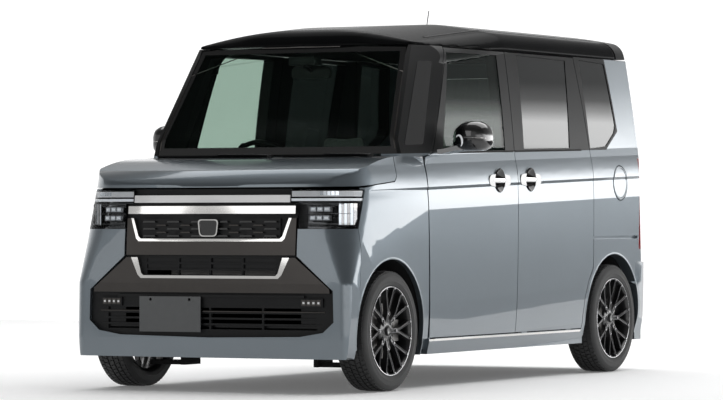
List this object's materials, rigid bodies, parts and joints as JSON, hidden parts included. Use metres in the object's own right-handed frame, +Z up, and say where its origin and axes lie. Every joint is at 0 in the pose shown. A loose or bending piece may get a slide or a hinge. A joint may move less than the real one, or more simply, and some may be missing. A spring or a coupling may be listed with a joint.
{
  "type": "kei car",
  "caption": "Tall four-wheeled passenger micro car with front hinged doors, sliding rear doors, bonnet, tailgate, steered front wheels and hollow cabin.",
  "frame": {"origin": "on the ground under the centre of the overall length and width", "axes": "+Z up, +X to the car's left, the car faces -Y"},
  "size_m": [1.864, 3.395, 1.8748],
  "materials": {
    "paint": "metallic blue-grey",
    "black_paint": "gloss black",
    "under": "matt grey",
    "iron": "cast",
    "alloy": "black and machined",
    "chrome": "polished",
    "tyre": "rubber",
    "plastic": "grained",
    "gloss_plastic": "gloss",
    "bumper": "painted",
    "lens": "clear lens",
    "red_lens": "red lens",
    "glass": "light green tint",
    "dark_glass": "dark tint",
    "cloth": "woven",
    "plate": "satin"
  },
  "bodies": {
    "body_shell": {"aerial": "plastic", "bright_trims": "chrome", "cowl_panel": "plastic", "dashboard": "plastic", "engine_block": "under", "floor": "under", "fog_lamps": "plastic", "front_bumper": "bumper", "front_garnish": "gloss_plastic", "front_grille": "plastic", "front_plate": "plate", "front_seats": "cloth", "front_subframe": "under", "front_wings": "paint", "headlamps": "lens", "inner_mirror": "plastic", "quarter_glass": "dark_glass", "rear_axle": "under", "rear_bumper": "bumper", "rear_seats": "cloth", "roof_panel": "black_paint", "side_frame_left": "paint", "side_frame_right": "paint", "slide_handles": "chrome", "sliding_door_glass": "dark_glass", "sliding_doors": "paint", "tail_lamps": "red_lens", "wheelhouses": "under", "windscreen": "glass", "wipers": "plastic"},
    "knuckle_left": {"knuckle_left": "iron"},
    "knuckle_right": {"knuckle_right": "iron"},
    "steering_wheel": {"steering_wheel": "plastic"},
    "wheel_fl": {"rim_fl": "alloy", "tyre_fl": "tyre", "disc_fl": "iron"},
    "wheel_fr": {"rim_fr": "alloy", "tyre_fr": "tyre", "disc_fr": "iron"},
    "wheel_rl": {"rim_rl": "alloy", "tyre_rl": "tyre", "drum_rl": "iron"},
    "wheel_rr": {"rim_rr": "alloy", "tyre_rr": "tyre", "drum_rr": "iron"},
    "door_left": {"door_left": "paint", "door_glass_left": "glass", "mirror_left": "gloss_plastic", "door_handle_left": "chrome"},
    "door_right": {"door_right": "paint", "door_glass_right": "glass", "mirror_right": "gloss_plastic", "door_handle_right": "chrome"},
    "bonnet": {"bonnet": "paint"},
    "tailgate": {"tailgate": "paint", "tailgate_glass": "dark_glass", "rear_plate": "plate", "rear_wiper": "plastic"},
    "fuel_lid": {"fuel_lid": "paint"}
  },
  "joints": [
    {"name": "steer_left", "type": "hinge", "parent": "body_shell", "child": "knuckle_left", "pos_m": [0.525, -1.2575, 0.281], "axis": [0, 0, 1], "range_deg": [-34, 34]},
    {"name": "steer_right", "type": "hinge", "parent": "body_shell", "child": "knuckle_right", "pos_m": [-0.525, -1.2575, 0.281], "axis": [0, 0, 1], "range_deg": [-34, 34]},
    {"name": "steering_wheel_turn", "type": "hinge", "parent": "body_shell", "child": "steering_wheel", "pos_m": [-0.33, -0.5675, 1.045], "axis": [0, 0.8829, 0.4695], "range_deg": [-550, 550]},
    {"name": "wheel_fl_spin", "type": "hinge", "parent": "knuckle_left", "child": "wheel_fl", "pos_m": [0.6525, -1.2575, 0.281], "axis": [1, 0, 0], "continuous": true},
    {"name": "wheel_fr_spin", "type": "hinge", "parent": "knuckle_right", "child": "wheel_fr", "pos_m": [-0.6525, -1.2575, 0.281], "axis": [1, 0, 0], "continuous": true},
    {"name": "wheel_rl_spin", "type": "hinge", "parent": "body_shell", "child": "wheel_rl", "pos_m": [0.6525, 1.2625, 0.281], "axis": [1, 0, 0], "continuous": true},
    {"name": "wheel_rr_spin", "type": "hinge", "parent": "body_shell", "child": "wheel_rr", "pos_m": [-0.6525, 1.2625, 0.281], "axis": [1, 0, 0], "continuous": true},
    {"name": "door_left_swing", "type": "hinge", "parent": "body_shell", "child": "door_left", "pos_m": [0.704, -0.8275, 0.7], "axis": [0, 0, -1], "range_deg": [0, 65]},
    {"name": "door_right_swing", "type": "hinge", "parent": "body_shell", "child": "door_right", "pos_m": [-0.704, -0.8275, 0.7], "axis": [0, 0, 1], "range_deg": [0, 65]},
    {"name": "bonnet_lift", "type": "hinge", "parent": "body_shell", "child": "bonnet", "pos_m": [0, -1.206, 1.0918], "axis": [-1, 0, 0], "range_deg": [0, 48]},
    {"name": "tailgate_lift", "type": "hinge", "parent": "body_shell", "child": "tailgate", "pos_m": [0, 1.4655, 1.762], "axis": [1, 0, 0], "range_deg": [0, 80]},
    {"name": "fuel_lid_swing", "type": "hinge", "parent": "body_shell", "child": "fuel_lid", "pos_m": [0.7375, 1.2505, 0.988], "axis": [0, 0, -1], "range_deg": [0, 85]}
  ],
  "couplings": [
    {"joint": "steer_right", "follows": "steer_left", "ratio": 1},
    {"joint": "steering_wheel_turn", "follows": "steer_left", "ratio": 16}
  ]
}
